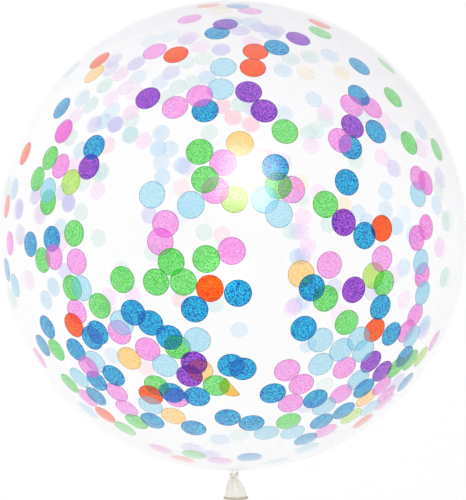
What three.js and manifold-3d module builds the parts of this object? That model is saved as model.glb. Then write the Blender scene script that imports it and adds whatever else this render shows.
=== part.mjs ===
// A giant round latex balloon, blown up and knotted, of the kind that is
// filled with paper confetti.
//
// Millimetres, +Z up. The balloon lies on its side on a small flat spot, and
// its neck points towards -Y. The origin is the centre of that spot, on the
// ground. The ball's axis is parallel to Y.
//
// The envelope is one dipped piece of latex: the ball, the throat that leaves
// it, the knot, and the limp tail of the neck with its rolled lip. The ball is
// sealed, so it is solid here. The tail is an open sleeve, hollow to the knot.

import * as THREE from 'three';
import { mergeVertices } from 'three/addons/utils/BufferGeometryUtils.js';
import Module from 'manifold-3d';

// The ball
const BALL_DIAMETER = 900;
const BALL_LENGTH = 906; // from the far pole to the pole at the neck
const FLAT_SPOT_DIAMETER = 100; // where it is pressed flat by the ground

// The throat, from the ball to the knot
const SHOULDER_FILLET = 12;
const THROAT_DIAMETER = 12;
const THROAT_LENGTH = 3.5;
const NECK_SWAY = 3.2; // how far the knot lies to +X of the ball's axis

// The knot: a ring of twisted latex round the bundled neck, and two lobes
const KNOT_WIDTH = 18.2;
const KNOT_DEPTH = 14;
const KNOT_LENGTH = 17;
const RING_THICKNESS = 8.5; // along the neck
const RING_TILT = 10; // degrees, +X side towards the ball
const RING_PLIES = 3; // strands twisted into the ring
const RING_TWIST = 2; // turns of the plies round the ring
const PLY_RELIEF = 1.5; // from the grooves between the plies to their tops
const LOBE_DIAMETER = 5.2;

// The tail: the flattened sleeve below the knot
const TAIL_LENGTH = 36.5; // from the knot to the lip's lowest edge
const TAIL_TOP_WIDTH = 13;
const TAIL_TOP_DEPTH = 9;
const TAIL_DOME = 5; // how far the gathered top reaches up the knot
const DOME_ROUNDNESS = 0.86; // exponent, lower is a blunter dome
const MOUTH_WIDTH = 42.6;
const MOUTH_DEPTH = 17;
const MOUTH_SWAY = 5.4; // how far the mouth lies to +X of the tail's top
const TOP_SWAY = -2; // how far the tail's top lies to +X of the knot
const TAIL_WALL = 1;
const LIP_DIAMETER = 4.4; // the rolled bead round the mouth
const LIP_STAND_OUT = 1.2; // from the sleeve's outside to the bead's middle
const LIP_ROLL_START = -0.3; // turns of the bead's section, at the sleeve's outside
const LIP_ROLL_END = 0.6; // and at its inside
const GATHER_LENGTH = 8; // solid bundle between the knot and the hollow
const PLEATS = 7;
const PLEAT_TURN = 0.09; // where the first pleat's ridge lies, in turns
const PLEAT_RELIEF = 2.4; // from valley to ridge at the tail's top
const PLEAT_FADE = 1.5; // exponent, higher dies away sooner

// How finely the round forms are cut
const BALL_SIDES = 64;
const BALL_STEPS = 36;
const FILLET_STEPS = 4;
const RING_SIDES = 15;
const RING_STEPS = 36;
const LOBE_SIDES = 10;
const LOBE_STEPS = 10;
const SLEEVE_SIDES = 48;
const SLEEVE_STEPS = 9;
const SLEEVE_CROWDING = 1.5; // exponent, higher crowds the rows at the knot
const LIP_STEPS = 8;
const MERGE_DISTANCE = 1e-4;

// Places along the axis, measured from the ball's pole towards the tail
const POLE_Y = -BALL_LENGTH / 2;
const KNOT_START = SHOULDER_FILLET + THROAT_LENGTH;
const KNOT_END = KNOT_START + KNOT_LENGTH;
const LIP_RADIUS = LIP_DIAMETER / 2;
const MOUTH = KNOT_END + TAIL_LENGTH - LIP_RADIUS;
const LOBE_RADIUS = LOBE_DIAMETER / 2;
const TAIL_TOP = KNOT_END - TAIL_DOME;

// The height of the ball's axis over the ground, set by the flat spot's chord
const AXIS_HEIGHT = Math.sqrt(BALL_DIAMETER ** 2 - FLAT_SPOT_DIAMETER ** 2) / 2;

const wasm = await Module();
wasm.setup();

// A closed geometry as a solid that can be joined and cut.
function solid(geometry) {
  const bare = geometry.clone();
  bare.deleteAttribute('normal');
  bare.deleteAttribute('uv');
  const merged = mergeVertices(bare, MERGE_DISTANCE);
  return new wasm.Manifold(new wasm.Mesh({
    numProp: 3,
    vertProperties: new Float32Array(merged.attributes.position.array),
    triVerts: new Uint32Array(merged.index.array),
  }));
}

// A joined or cut solid as a geometry again.
function geometryOf(body) {
  const mesh = body.getMesh();
  const geometry = new THREE.BufferGeometry();
  geometry.setAttribute('position', new THREE.BufferAttribute(mesh.vertProperties, 3));
  geometry.setIndex(new THREE.BufferAttribute(mesh.triVerts, 1));
  const flat = geometry.toNonIndexed();
  flat.computeVertexNormals();
  return flat;
}

// A point of the knot or tail at a distance along the neck from the ball's pole.
function neckPoint(x, along, z) {
  return new THREE.Vector3(NECK_SWAY + x, POLE_Y - along, z);
}

// The ball, its shoulder and the throat are turned about the Y axis. The
// ball's outline is an ellipse; a quarter round leads it into the throat,
// which leans over to the knot.
function makeBallAndThroat() {
  const radius = BALL_DIAMETER / 2;
  const half = BALL_LENGTH / 2;
  const throat = THROAT_DIAMETER / 2;
  const shoulder = throat + SHOULDER_FILLET;
  const lastAngle = -Math.acos(shoulder / radius);
  const outline = [new THREE.Vector2(0, half)];
  for (let i = 1; i <= BALL_STEPS; i += 1) {
    const angle = Math.max(Math.PI * (0.5 - i / BALL_STEPS), lastAngle);
    outline.push(new THREE.Vector2(radius * Math.cos(angle), half * Math.sin(angle)));
  }
  const shoulderY = outline[BALL_STEPS].y;
  for (let i = 1; i <= FILLET_STEPS; i += 1) {
    const angle = (Math.PI / 2) * (i / FILLET_STEPS);
    outline.push(new THREE.Vector2(
      shoulder - SHOULDER_FILLET * Math.sin(angle),
      shoulderY - SHOULDER_FILLET * (1 - Math.cos(angle)),
    ));
  }
  const bundleEnd = POLE_Y - KNOT_END;
  outline.push(new THREE.Vector2(throat, bundleEnd));
  outline.push(new THREE.Vector2(0, bundleEnd));
  outline.reverse();
  const body = new THREE.LatheGeometry(outline, BALL_SIDES);
  const position = body.attributes.position;
  for (let i = 0; i < position.count; i += 1) {
    if (position.getY(i) < POLE_Y - KNOT_START) {
      position.setX(i, position.getX(i) + NECK_SWAY);
    }
  }
  return body;
}

// The knot's ring: a torus round the neck. The plies swell its tube in lobes
// that wind round it, so that its grooves run slantwise over the front.
function makeRing() {
  const tube = RING_THICKNESS / 2;
  const major = KNOT_WIDTH / 2 - tube;
  const ring = new THREE.TorusGeometry(major, tube, RING_SIDES, RING_STEPS);
  const position = ring.attributes.position;
  for (let j = 0; j <= RING_SIDES; j += 1) {
    for (let i = 0; i <= RING_STEPS; i += 1) {
      const round = 2 * Math.PI * ((i % RING_STEPS) / RING_STEPS);
      const across = 2 * Math.PI * ((j % RING_SIDES) / RING_SIDES);
      const ply = Math.cos(RING_PLIES * (across - RING_TWIST * round));
      const radius = tube - (PLY_RELIEF / 2) * (1 - ply);
      const reach = major + radius * Math.cos(across);
      position.setXYZ(
        j * (RING_STEPS + 1) + i,
        reach * Math.cos(round),
        reach * Math.sin(round) * (KNOT_DEPTH / KNOT_WIDTH),
        radius * Math.sin(across),
      );
    }
  }
  ring.rotateX(Math.PI / 2);
  ring.rotateZ(THREE.MathUtils.degToRad(RING_TILT));
  const middle = neckPoint(0, KNOT_START + tube, 0);
  ring.translate(middle.x, middle.y, middle.z);
  return ring;
}

// A round lobe of the bundle along a curve.
function makeLobe(curve) {
  const section = new THREE.Shape().absarc(0, 0, LOBE_RADIUS, 0, 2 * Math.PI);
  return new THREE.ExtrudeGeometry(section, {
    steps: LOBE_STEPS,
    curveSegments: LOBE_SIDES / 2,
    extrudePath: curve,
  });
}

// Below the ring the bundle leaves in two lobes: the left one runs straight
// down, the right one hooks over the middle and tucks into the tail.
function makeLobes() {
  const side = KNOT_WIDTH / 2 - LOBE_RADIUS;
  const top = KNOT_DEPTH / 2 - LOBE_RADIUS;
  const start = KNOT_START + RING_THICKNESS / 2;
  const length = KNOT_END - start;
  const left = new THREE.CubicBezierCurve3(
    neckPoint(-side * 0.6, start, 0),
    neckPoint(-side, start + length * 0.5, top * 0.5),
    neckPoint(-side * 0.8, KNOT_END, top * 0.5),
    neckPoint(-side * 0.4, KNOT_END + GATHER_LENGTH / 2, 0),
  );
  const right = new THREE.CubicBezierCurve3(
    neckPoint(side * 0.6, start, 0),
    neckPoint(side * 1.2, start + length * 0.6, top),
    neckPoint(side * 0.2, start + length * 0.7, top * 1.4),
    neckPoint(-side * 0.2, KNOT_END + GATHER_LENGTH / 2, top * 0.4),
  );
  return [makeLobe(left), makeLobe(right)];
}

// The outside of the sleeve at a turn round the axis and a distance along the
// neck, moved inwards by inset. The sleeve leaves the knot in a blunt dome and
// widens to its mouth, and its pleats die away on the way.
function sleevePoint(turn, along, inset) {
  const share = THREE.MathUtils.clamp((along - TAIL_TOP) / (MOUTH - TAIL_TOP), 0, 1);
  const spread = (1 - (1 - share) ** 2) ** DOME_ROUNDNESS;
  const halfWidth = THREE.MathUtils.lerp(TAIL_TOP_WIDTH, MOUTH_WIDTH, spread) / 2;
  const halfDepth = THREE.MathUtils.lerp(TAIL_TOP_DEPTH, MOUTH_DEPTH, spread) / 2;
  const ridge = Math.cos(2 * Math.PI * PLEATS * (turn - PLEAT_TURN)) - 1;
  const pleat = (PLEAT_RELIEF / 2) * ridge * (1 - share) ** PLEAT_FADE;
  const sway = TOP_SWAY + MOUTH_SWAY * spread;
  const angle = 2 * Math.PI * turn;
  return neckPoint(
    sway + (halfWidth + pleat - inset) * Math.cos(angle),
    along,
    (halfDepth + pleat - inset) * Math.sin(angle),
  );
}

// The tail: a closed skin that runs down the sleeve's outside, round the
// rolled lip and up the inside to the floor of the hollow.
function makeTail() {
  const rows = [];
  for (let i = 0; i <= SLEEVE_STEPS; i += 1) {
    const share = (i / SLEEVE_STEPS) ** SLEEVE_CROWDING;
    rows.push({ along: THREE.MathUtils.lerp(TAIL_TOP, MOUTH - LIP_RADIUS, share), inset: 0 });
  }
  for (let i = 1; i <= LIP_STEPS; i += 1) {
    const turn = THREE.MathUtils.lerp(LIP_ROLL_START, LIP_ROLL_END, i / LIP_STEPS);
    const angle = 2 * Math.PI * turn;
    rows.push({
      along: MOUTH + LIP_RADIUS * Math.sin(angle),
      inset: -LIP_STAND_OUT - LIP_RADIUS * Math.cos(angle),
    });
  }
  const floor = KNOT_END + GATHER_LENGTH;
  for (let i = 0; i <= SLEEVE_STEPS; i += 1) {
    const along = THREE.MathUtils.lerp(MOUTH - LIP_RADIUS, floor, i / SLEEVE_STEPS);
    rows.push({ along, inset: TAIL_WALL });
  }
  const profile = [new THREE.Vector2(0, -TAIL_TOP)];
  rows.forEach((row) => profile.push(new THREE.Vector2(MOUTH_WIDTH / 2, -row.along)));
  profile.push(new THREE.Vector2(0, -floor));
  const skin = new THREE.LatheGeometry(profile, SLEEVE_SIDES);
  const position = skin.attributes.position;
  for (let side = 0; side <= SLEEVE_SIDES; side += 1) {
    rows.forEach((row, index) => {
      const place = sleevePoint((side % SLEEVE_SIDES) / SLEEVE_SIDES, row.along, row.inset);
      position.setXYZ(side * profile.length + index + 1, place.x, place.y, place.z);
    });
    const top = neckPoint(TOP_SWAY, TAIL_TOP, 0);
    const bottom = neckPoint(TOP_SWAY, floor, 0);
    position.setXYZ(side * profile.length, top.x, top.y, top.z);
    position.setXYZ(side * profile.length + profile.length - 1, bottom.x, bottom.y, bottom.z);
  }
  return skin;
}

// The ground that presses the flat spot: everything under it is cut away.
function makeGround() {
  const ground = new THREE.BoxGeometry(BALL_DIAMETER, BALL_LENGTH, BALL_DIAMETER);
  ground.translate(0, 0, -AXIS_HEIGHT - BALL_DIAMETER / 2);
  return ground;
}

function makeEnvelope() {
  let body = solid(makeBallAndThroat());
  body = body.add(solid(makeRing()));
  makeLobes().forEach((lobe) => {
    body = body.add(solid(lobe));
  });
  body = body.add(solid(makeTail()));
  body = body.subtract(solid(makeGround()));
  return geometryOf(body);
}

const latex = new THREE.MeshStandardMaterial({
  color: 0xecebe6,
  roughness: 0.25,
  metalness: 0,
});

const balloon = new THREE.Mesh(makeEnvelope(), latex);
balloon.name = 'balloon';
balloon.position.z = AXIS_HEIGHT;

const confettiBalloon = new THREE.Group();
confettiBalloon.add(balloon);

export default confettiBalloon;
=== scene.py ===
# %% [markdown]
# A giant confetti balloon, made as a lesson in Blender.
#
# The real thing is one dipped piece of natural latex. Blown up to about
# 90 cm it is stretched so thin that it is clear, and the round discs of
# tissue paper sealed inside cling to its film and show through it. Where
# the latex isn't stretched, at the throat, the knot and the tail, it is
# thick and creamy white.
#
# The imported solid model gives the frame: metres, +Z up, with the origin on
# the ground under the ball. The neck points to -Y.

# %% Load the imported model
import math

import bpy
import numpy as np
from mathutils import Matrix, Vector


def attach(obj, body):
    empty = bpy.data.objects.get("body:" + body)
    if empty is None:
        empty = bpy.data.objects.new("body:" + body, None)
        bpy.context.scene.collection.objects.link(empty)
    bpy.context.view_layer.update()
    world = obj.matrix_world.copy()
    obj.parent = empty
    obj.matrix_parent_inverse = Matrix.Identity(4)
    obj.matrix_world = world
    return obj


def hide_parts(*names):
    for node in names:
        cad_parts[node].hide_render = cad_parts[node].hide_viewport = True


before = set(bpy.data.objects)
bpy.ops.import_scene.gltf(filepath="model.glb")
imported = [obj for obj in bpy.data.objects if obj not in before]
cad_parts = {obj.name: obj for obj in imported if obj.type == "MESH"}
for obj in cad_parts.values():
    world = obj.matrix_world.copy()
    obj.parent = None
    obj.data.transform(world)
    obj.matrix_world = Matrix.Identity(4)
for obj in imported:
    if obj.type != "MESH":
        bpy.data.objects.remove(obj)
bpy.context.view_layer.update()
scene = bpy.context.scene
print("packed nodes:", sorted(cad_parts))

# %% [markdown]
# The sizes of the balloon.
#
# These are the driving sizes of the solid model. The film is worked out from
# the same formulas on a finer grid, so it lies exactly where the solid does.
# The outline of the ball is an ellipse, a hair longer than a circle.

# %% Sizes of the ball
MM = 0.001
BALL_DIAMETER = 900 * MM
BALL_LENGTH = 906 * MM
FLAT_SPOT_DIAMETER = 100 * MM
SHOULDER_FILLET = 12 * MM
THROAT_DIAMETER = 12 * MM
THROAT_LENGTH = 3.5 * MM
NECK_SWAY = 3.2 * MM
KNOT_LENGTH = 17 * MM

BALL_RADIUS = BALL_DIAMETER / 2
HALF_LENGTH = BALL_LENGTH / 2
AXIS_HEIGHT = math.sqrt(BALL_DIAMETER**2 - FLAT_SPOT_DIAMETER**2) / 2
BALL_MIDDLE = np.array((0.0, 0.0, AXIS_HEIGHT))
KNOT_START = SHOULDER_FILLET + THROAT_LENGTH
KNOT_END = KNOT_START + KNOT_LENGTH
print("the ball's axis is", round(AXIS_HEIGHT / MM, 1), "mm over the ground")

# %% [markdown]
# The camera.
#
# The photograph looks straight down on the ball as it lies here. The lens
# comes from how large the discs look: a disc on the near side is 28 pixels
# across and the same disc on the far side 18, which sets how far off the
# camera is. The ball's middle is a little above the middle of the picture,
# and small shifts of the lens give that.

# %% Camera
PICTURE_WIDTH, PICTURE_HEIGHT = 466, 500
BALL_MIDDLE_PIXEL = np.array((232.5, 235.5))
FOCAL_PIXELS = 930.0
CAMERA_OVER_BALL = 1.845
SENSOR_SIZE = 36.0

camera_point = BALL_MIDDLE + (0, 0, CAMERA_OVER_BALL)
camera_data = bpy.data.cameras.new("camera")
camera_data.sensor_width = SENSOR_SIZE
camera_data.lens = FOCAL_PIXELS / PICTURE_HEIGHT * SENSOR_SIZE
camera_data.shift_x = (PICTURE_WIDTH / 2 - BALL_MIDDLE_PIXEL[0]) / PICTURE_HEIGHT
camera_data.shift_y = (BALL_MIDDLE_PIXEL[1] - PICTURE_HEIGHT / 2) / PICTURE_HEIGHT
camera = bpy.data.objects.new("camera", camera_data)
camera.location = camera_point
scene.collection.objects.link(camera)
scene.camera = camera
print("lens:", round(camera_data.lens, 2), "mm")

# %% [markdown]
# Helpers that put arrays into a mesh.
#
# Every shape below is worked out by numpy as whole arrays of points. A mesh
# needs its points, and for each face the numbers of its corners. Grids give
# quads, and a pole is closed by a fan of triangles.

# %% Mesh helpers
def grid_quads(rows, columns, close_rows=False):
    """Corners of the quads of a grid that closes on itself along its columns.

    Point (r, c) has the number r * columns + c. With close_rows the last row
    joins the first one too, as on a ring.
    """
    last = rows if close_rows else rows - 1
    r, c = np.meshgrid(np.arange(last), np.arange(columns), indexing="ij")
    r, c = r.ravel(), c.ravel()
    below, right = (r + 1) % rows, (c + 1) % columns
    return np.stack(
        (r * columns + c, r * columns + right, below * columns + right, below * columns + c),
        axis=1,
    )


def pole_fan(pole, first, columns, flip):
    """Triangles from one pole point to the ring of points that starts at first."""
    c = np.arange(columns)
    ring, after = first + c, first + (c + 1) % columns
    middle = np.full(columns, pole)
    return np.stack((middle, after, ring) if flip else (middle, ring, after), axis=1)


def end_fans(rows, columns, flip):
    """Fans that close the first and last row of a grid. Their poles come after its points."""
    count = rows * columns
    first = pole_fan(count, 0, columns, flip)
    last = pole_fan(count + 1, count - columns, columns, not flip)
    return np.vstack((first, last))


def circle_steps(count):
    """The angles of that many equal steps round a circle."""
    return np.arange(count) * (2 * math.pi / count)


def make_piece(name, points, quads, triangles, materials, smooth=True):
    """A mesh object from arrays, with its materials, riding on the one body."""
    mesh = bpy.data.meshes.new(name)
    corners = np.concatenate((quads.ravel(), triangles.ravel())).astype(np.int32)
    fan_starts = len(quads) * 4 + np.arange(len(triangles)) * 3
    starts = np.concatenate((np.arange(len(quads)) * 4, fan_starts)).astype(np.int32)
    mesh.vertices.add(len(points))
    mesh.vertices.foreach_set("co", np.asarray(points, dtype=np.float32).ravel())
    mesh.loops.add(len(corners))
    mesh.loops.foreach_set("vertex_index", corners)
    mesh.polygons.add(len(starts))
    mesh.polygons.foreach_set("loop_start", starts)
    mesh.polygons.foreach_set("use_smooth", np.full(len(starts), smooth))
    mesh.update(calc_edges=True)
    mesh.validate()
    for material in materials:
        mesh.materials.append(material)
    piece = bpy.data.objects.new(name, mesh)
    scene.collection.objects.link(piece)
    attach(piece, "root")
    print(name, "has", len(starts), "faces")
    return piece


def add_attribute(piece, name, values):
    """A number for each point of the mesh, for its material to read."""
    layer = piece.data.attributes.new(name, "FLOAT", "POINT")
    layer.data.foreach_set("value", np.asarray(values, dtype=np.float32).ravel())


# %% [markdown]
# Helpers for materials.
#
# A material is a small tree of nodes. These helpers keep each tree short to
# read: one makes a node and sets its plain values, one does arithmetic, and
# one starts a group, which several materials can share.

# %% Node helpers
def new_tree(name):
    """A material with an empty node tree and its output node."""
    material = bpy.data.materials.new(name)
    material.use_nodes = True
    tree = material.node_tree
    tree.nodes.clear()
    return material, tree, tree.nodes.new("ShaderNodeOutputMaterial")


def new_group(name, inputs, outputs):
    """A node group with named sockets, and the nodes at its two ends."""
    group = bpy.data.node_groups.new(name, "ShaderNodeTree")
    for side, sockets in (("INPUT", inputs), ("OUTPUT", outputs)):
        for label, kind in sockets.items():
            group.interface.new_socket(label, in_out=side, socket_type="NodeSocket" + kind)
    return group, group.nodes.new("NodeGroupInput"), group.nodes.new("NodeGroupOutput")


def add_node(tree, kind, **values):
    """A node with plain values on its named input sockets."""
    node = tree.nodes.new("ShaderNode" + kind)
    for name, value in values.items():
        node.inputs[name.replace("_", " ")].default_value = value
    return node


def feed(tree, socket, value):
    """Links value into a socket, or sets it there if it is a plain number."""
    if isinstance(value, bpy.types.NodeSocket):
        tree.links.new(value, socket)
    else:
        socket.default_value = value


def sum_up(tree, operation, a, b=0.0, clamp=False):
    """One step of arithmetic on numbers or sockets."""
    node = tree.nodes.new("ShaderNodeMath")
    node.operation = operation
    node.use_clamp = clamp
    feed(tree, node.inputs[0], a)
    feed(tree, node.inputs[1], b)
    return node.outputs[0]


def times(tree, product, *factors, clamp=False):
    """The product of numbers or sockets."""
    for factor in factors:
        product = sum_up(tree, "MULTIPLY", product, factor, clamp)
    return product


def step_between(tree, value, low, high, to_low=0.0, to_high=1.0):
    """A soft step: to_low where value is under low, to_high where it is over high."""
    node = tree.nodes.new("ShaderNodeMapRange")
    node.interpolation_type = "SMOOTHSTEP"
    feed(tree, node.inputs["Value"], value)
    node.inputs["From Min"].default_value = low
    node.inputs["From Max"].default_value = high
    node.inputs["To Min"].default_value = to_low
    node.inputs["To Max"].default_value = to_high
    return node.outputs["Result"]


def mix_colours(tree, share, a, b, blend="MIX"):
    """Two colours mixed by a share."""
    node = tree.nodes.new("ShaderNodeMix")
    node.data_type = "RGBA"
    node.blend_type = blend
    feed(tree, node.inputs[0], share)
    feed(tree, node.inputs[6], a)
    feed(tree, node.inputs[7], b)
    return node.outputs[2]


def tint_by(tree, a, b):
    """Two colours multiplied."""
    return mix_colours(tree, 1.0, a, b, "MULTIPLY")


def mix_shaders(tree, share, a, b):
    """Two shaders mixed by a share."""
    node = tree.nodes.new("ShaderNodeMixShader")
    feed(tree, node.inputs[0], share)
    tree.links.new(a, node.inputs[1])
    tree.links.new(b, node.inputs[2])
    return node.outputs[0]


def read_attribute(tree, name):
    """The number that the mesh holds for each point under this name."""
    node = tree.nodes.new("ShaderNodeAttribute")
    node.attribute_name = name
    return node.outputs["Fac"]


def passes_freely(tree):
    """0 for light on its way to a matt surface, which skips the film and paper, else 1."""
    path = tree.nodes.new("ShaderNodeLightPath")
    skips = sum_up(tree, "MAXIMUM", path.outputs["Is Shadow Ray"], path.outputs["Is Diffuse Ray"])
    return sum_up(tree, "SUBTRACT", 1.0, skips)


def colour(red, green, blue):
    """A colour given as it looks on a screen, 0 to 255, in the linear light that shaders use."""
    seen = np.array((red, green, blue)) / 255
    light = np.where(seen <= 0.04045, seen / 12.92, ((seen + 0.055) / 1.055) ** 2.4)
    return (*light.tolist(), 1.0)


# %% [markdown]
# Cream latex, as a group that two materials share.
#
# Latex that isn't stretched is creamy and a little cloudy. In its creases it
# is painted darker and more yellow: more yellow where it is thick, and darker
# as painted shade. The film uses this where it gathers into the throat, and
# the knot and tail use it all over.

# %% Latex group
CLOUD_SCALE = 160.0
CLOUD_SHADE = 0.22
CLOUD_START, CLOUD_FULL = 0.35, 0.75
DULL_START, DULL_FULL = 0.3, 0.7
ALONG_THE_NECK = (1.0, 0.22, 1.0)
GLOSSY_LATEX, DULL_LATEX = 0.28, 0.46
CREAM = colour(230, 228, 221)
CREASE_SHADE_TONE = colour(170, 164, 144)


def latex_group():
    """The node group that gives unstretched latex its colour, gloss and fine wrinkles."""
    group, given, result = new_group(
        "cream_latex",
        {"Cream": "Color", "Crease Colour": "Color", "Crease": "Float", "Wrinkle Scale": "Float"},
        {"Colour": "Color", "Roughness": "Float", "Height": "Float"},
    )
    place = group.nodes.new("ShaderNodeTexCoord").outputs["Object"]
    cloud = add_node(group, "TexNoise", Scale=CLOUD_SCALE, Detail=3.0, Roughness=0.6)
    group.links.new(place, cloud.inputs["Vector"])
    stretched = group.nodes.new("ShaderNodeMapping")
    stretched.inputs["Scale"].default_value = ALONG_THE_NECK
    group.links.new(place, stretched.inputs["Vector"])
    wrinkles = add_node(group, "TexNoise", Detail=4.0, Roughness=0.55)
    group.links.new(stretched.outputs[0], wrinkles.inputs["Vector"])
    group.links.new(given.outputs["Wrinkle Scale"], wrinkles.inputs["Scale"])

    mist = cloud.outputs["Fac"]
    cloudy = step_between(group, mist, CLOUD_START, CLOUD_FULL, 0.0, CLOUD_SHADE)
    # Painted shade from the crease share, plus random cloudy tone.
    shade_and_cloud = sum_up(group, "ADD", given.outputs["Crease"], cloudy, clamp=True)
    tone = mix_colours(group, shade_and_cloud, given.outputs["Cream"], given.outputs["Crease Colour"])
    group.links.new(tone, result.inputs["Colour"])
    dull = step_between(group, mist, DULL_START, DULL_FULL, GLOSSY_LATEX, DULL_LATEX)
    group.links.new(dull, result.inputs["Roughness"])
    group.links.new(wrinkles.outputs["Fac"], result.inputs["Height"])
    return group


cream_latex = latex_group()


def use_latex(tree, crease_shade, wrinkle_scale, cream=CREAM):
    """Places the latex group in a material with that material's own values."""
    node = tree.nodes.new("ShaderNodeGroup")
    node.node_tree = cream_latex
    node.inputs["Cream"].default_value = cream
    node.inputs["Crease Colour"].default_value = CREASE_SHADE_TONE
    node.inputs["Wrinkle Scale"].default_value = wrinkle_scale
    feed(tree, node.inputs["Crease"], crease_shade)
    return node


# %% [markdown]
# The stretched film.
#
# It is clear and a little milky. Light that meets it head on passes through
# little latex, and near the edge of the ball it slants through much more, so
# the edge looks milkier. For light that meets the film at an angle a from
# square on, the milk hides a share 1 - exp(-milk (1 / cos(a) - 1)). Towards
# the neck there is more of this milk. Towards the crown, opposite the neck
# and leaning to +X, grey shade is painted on: the milk there hides a small
# share more and is greyer. The film mirrors a share
# F + (1 - F) (1 - cos(a))^5, a good rule for how much more a clear thing
# mirrors when seen aslant. This way was chosen over real glass because a film
# bends nothing, and it stays clean with few samples. Light on its way to the
# floor or the paper passes the film freely.

# %% Film material
FILM_MILK = 0.085
NECK_MILK = 0.18
FILM_MIRROR = 0.012
# The crown's extra milk and its grey are painted shade.
CROWN_SHADE_SHARE = 0.085
FILM_TINT = (0.986, 0.986, 0.988, 1.0)
MILK_WHITE = colour(246, 246, 248)
CROWN_SHADE_GREY = colour(212, 210, 220)
THROAT_CREAM = colour(255, 253, 247)
THROAT_CREASE = 0.1
THROAT_WRINKLES = 260.0
LEAST_COSINE = 0.02
GRAZING_POWER = 5.0
FILM_ROUGHNESS = 0.18


def film_material():
    """Clear latex film: a clear share, a milky share and a mirroring share."""
    material, tree, output = new_tree("clear_film")
    facing = add_node(tree, "LayerWeight", Blend=0.5).outputs["Facing"]
    head_on = sum_up(tree, "MAXIMUM", sum_up(tree, "SUBTRACT", 1.0, facing), LEAST_COSINE)
    more = times(tree, read_attribute(tree, "neckward"), NECK_MILK)
    strength = sum_up(tree, "ADD", more, FILM_MILK)
    longer = sum_up(tree, "SUBTRACT", sum_up(tree, "DIVIDE", 1.0, head_on), 1.0)
    through = sum_up(tree, "POWER", math.exp(-1), times(tree, strength, longer))
    milk = sum_up(tree, "SUBTRACT", 1.0, through)
    # Painted shade: more milk, and greyer milk, towards the crown.
    crown_shade = read_attribute(tree, "crown_shade")
    milk = sum_up(tree, "ADD", milk, times(tree, crown_shade, CROWN_SHADE_SHARE))
    gathered = read_attribute(tree, "gathered")
    free = passes_freely(tree)
    share = times(tree, sum_up(tree, "MAXIMUM", milk, gathered), free)

    latex = use_latex(tree, THROAT_CREASE, THROAT_WRINKLES, THROAT_CREAM)
    tone = mix_colours(tree, crown_shade, MILK_WHITE, CROWN_SHADE_GREY)
    tone = mix_colours(tree, gathered, tone, latex.outputs["Colour"])
    milky = add_node(tree, "BsdfPrincipled", Roughness=0.5)
    tree.links.new(tone, milky.inputs["Base Color"])
    clear = add_node(tree, "BsdfTransparent", Color=FILM_TINT)
    body = mix_shaders(tree, share, clear.outputs[0], milky.outputs[0])

    grazing = sum_up(tree, "POWER", facing, GRAZING_POWER)
    mirror = sum_up(tree, "ADD", times(tree, grazing, 1 - FILM_MIRROR), FILM_MIRROR)
    gloss = add_node(tree, "BsdfGlossy", Color=(1, 1, 1, 1), Roughness=FILM_ROUGHNESS)
    whole = mix_shaders(tree, times(tree, mirror, free), body, gloss.outputs[0])
    tree.links.new(whole, output.inputs["Surface"])
    return material


clear_film = film_material()

# %% [markdown]
# The shape of the film.
#
# The ball is an ellipse turned about the Y axis:
# (distance from the axis / radius)^2 + (y / half length)^2 = 1. A quarter
# round leads it into the throat, which leans over and ends inside the knot.
# The ground presses a small flat spot: heights are bent softly so that none
# goes under it. All points come from one grid of rows along the outline and
# columns round the axis.

# %% Film surface
FILM_ROWS = 132
FILM_COLUMNS = 144
FILLET_ROWS = 10
FLAT_SPOT_SOFTNESS = 2 * MM
GATHER_FADE = 4.5 * MM
GATHER_STREAKS = 9
STREAK_DEPTH = 0.35
STREAK_SWING = 1.3
CROWN_SHADE_START, CROWN_SHADE_FULL = 0.27, 0.85
CROWN_SHADE_LEAN = math.radians(20)
NECKWARD_START, NECKWARD_FULL = 0.5, 0.86


def press_flat(points):
    """Bends heights so that none is under the ground: z' = (z + sqrt(z^2 + w^2)) / 2."""
    pressed = points.copy()
    z = points[..., 2]
    pressed[..., 2] = (z + np.sqrt(z * z + FLAT_SPOT_SOFTNESS**2)) / 2
    return pressed


def ball_outline():
    """(distance from the axis, y) down the ball, round the shoulder and into the throat.

    Ball: R cos(a) and L sin(a) for the angle a, from the far pole on. Shoulder:
    a quarter circle that leaves the ball where it is as wide as the throat and
    the fillet together.
    """
    throat = THROAT_DIAMETER / 2
    shoulder = throat + SHOULDER_FILLET
    last = -math.acos(shoulder / BALL_RADIUS)
    angle = np.linspace(math.pi / 2, last, FILM_ROWS + 1)[1:]
    across = BALL_RADIUS * np.cos(angle)
    along = HALF_LENGTH * np.sin(angle)
    bend = np.linspace(0, math.pi / 2, FILLET_ROWS + 1)[1:]
    bend_across = shoulder - SHOULDER_FILLET * np.sin(bend)
    bend_along = along[-1] - SHOULDER_FILLET * (1 - np.cos(bend))
    end = -HALF_LENGTH - KNOT_START - KNOT_LENGTH / 2
    outline_across = np.concatenate((across, bend_across, (throat,)))
    return outline_across, np.concatenate((along, bend_along, (end,)))


def soft_step(value, low, high):
    """0 under low, 1 over high, and 3 s^2 - 2 s^3 between, for the share s of the way."""
    share = np.clip((value - low) / (high - low), 0, 1)
    return share**2 * (3 - 2 * share)


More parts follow.
